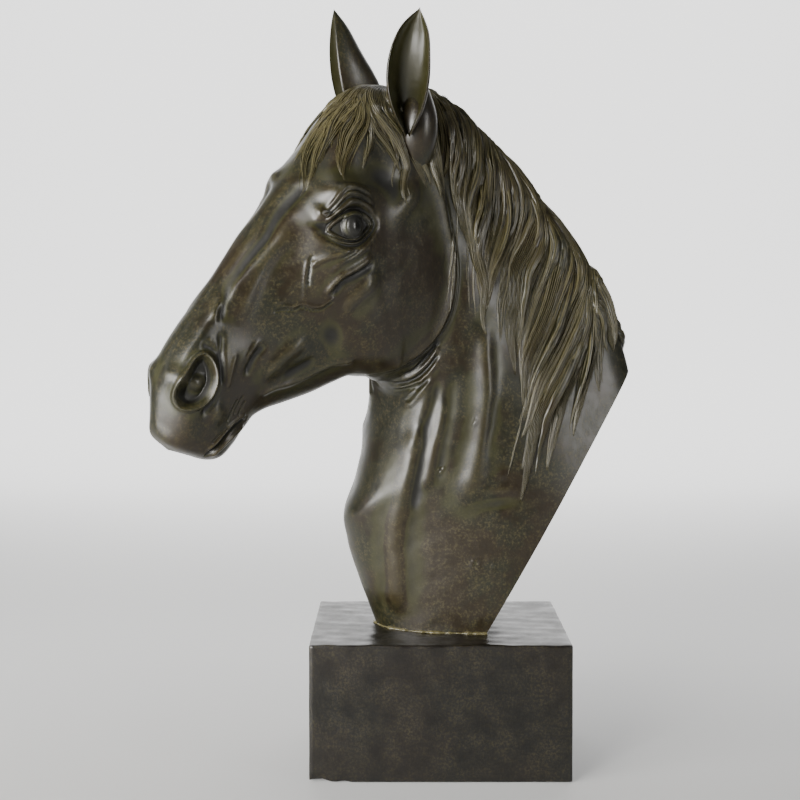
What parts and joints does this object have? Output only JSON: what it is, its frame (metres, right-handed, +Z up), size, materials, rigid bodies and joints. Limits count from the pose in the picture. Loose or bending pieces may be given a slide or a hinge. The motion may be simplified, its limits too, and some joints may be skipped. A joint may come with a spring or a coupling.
{
  "type": "horse head sculpture",
  "caption": "Bronze-finished head and neck of a horse, turned to one side with ears up, cut flat behind and fixed on a low rectangular plinth.",
  "frame": {"origin": "middle of the plinth's underside", "axes": "+Z up, -Y the long front side of the plinth, -X the way the horse faces before its head turns towards -Y"},
  "size_m": [0.3653, 0.2489, 0.5903],
  "materials": {
    "waxed_bronze": "dark olive-brown bronze finish over cast resin, waxed, semi-gloss",
    "dark_plinth": "the same bronze finish, darker and mottled, semi-gloss"
  },
  "bodies": {
    "root": {"horse_bust": "waxed_bronze", "plinth": "dark_plinth"}
  },
  "joints": []
}
